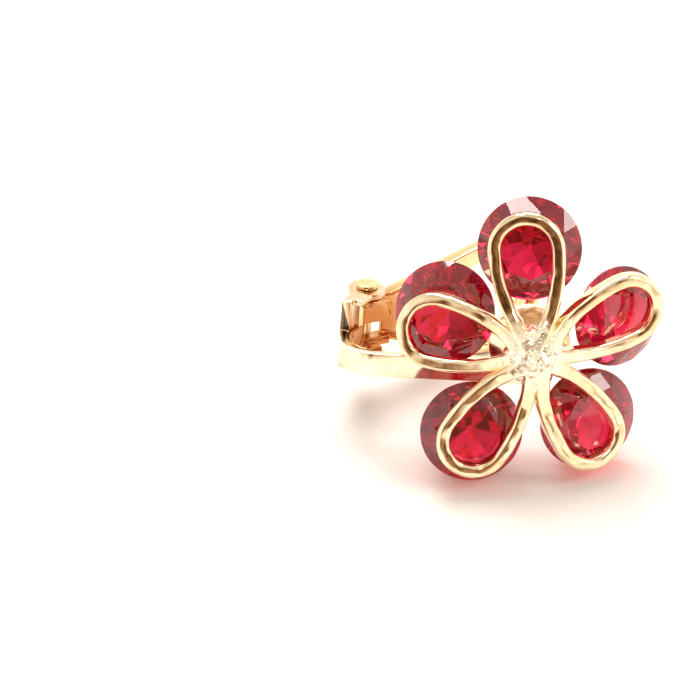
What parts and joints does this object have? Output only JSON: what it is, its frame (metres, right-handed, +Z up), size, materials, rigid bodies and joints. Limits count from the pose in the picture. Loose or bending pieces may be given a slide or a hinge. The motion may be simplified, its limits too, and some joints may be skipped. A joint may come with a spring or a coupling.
{
  "type": "clip on earring",
  "caption": "Clip on earring: a flower of gold wire loops with a round red stone behind each loop, on a hinged clip whose paddle swings to grip the ear lobe.",
  "frame": {"origin": "centre of the bounding box's bottom face, on the surface the earring lies on", "axes": "+Z up, the flower faces -Y and leans back by 15 degrees, the hinge is at -X"},
  "size_m": [0.0254, 0.0233, 0.0208],
  "materials": {
    "gold_plate": "polished",
    "red_glass": "polished"
  },
  "bodies": {
    "clip": {"flower_frame": "gold_plate", "stone_top": "red_glass", "stone_left": "red_glass", "stone_low_left": "red_glass", "stone_low_right": "red_glass", "stone_right": "red_glass", "clip_base": "gold_plate", "clip_spring": "gold_plate", "hinge_pin": "gold_plate"},
    "paddle": {"clip_lever": "gold_plate"}
  },
  "joints": [
    {"name": "paddle_hinge", "type": "hinge", "parent": "clip", "child": "paddle", "pos_m": [-0.01048, 0.00307, 0.00656], "axis": [0.0523, 0.1562, 0.9863], "range_deg": [-42, 40]}
  ]
}
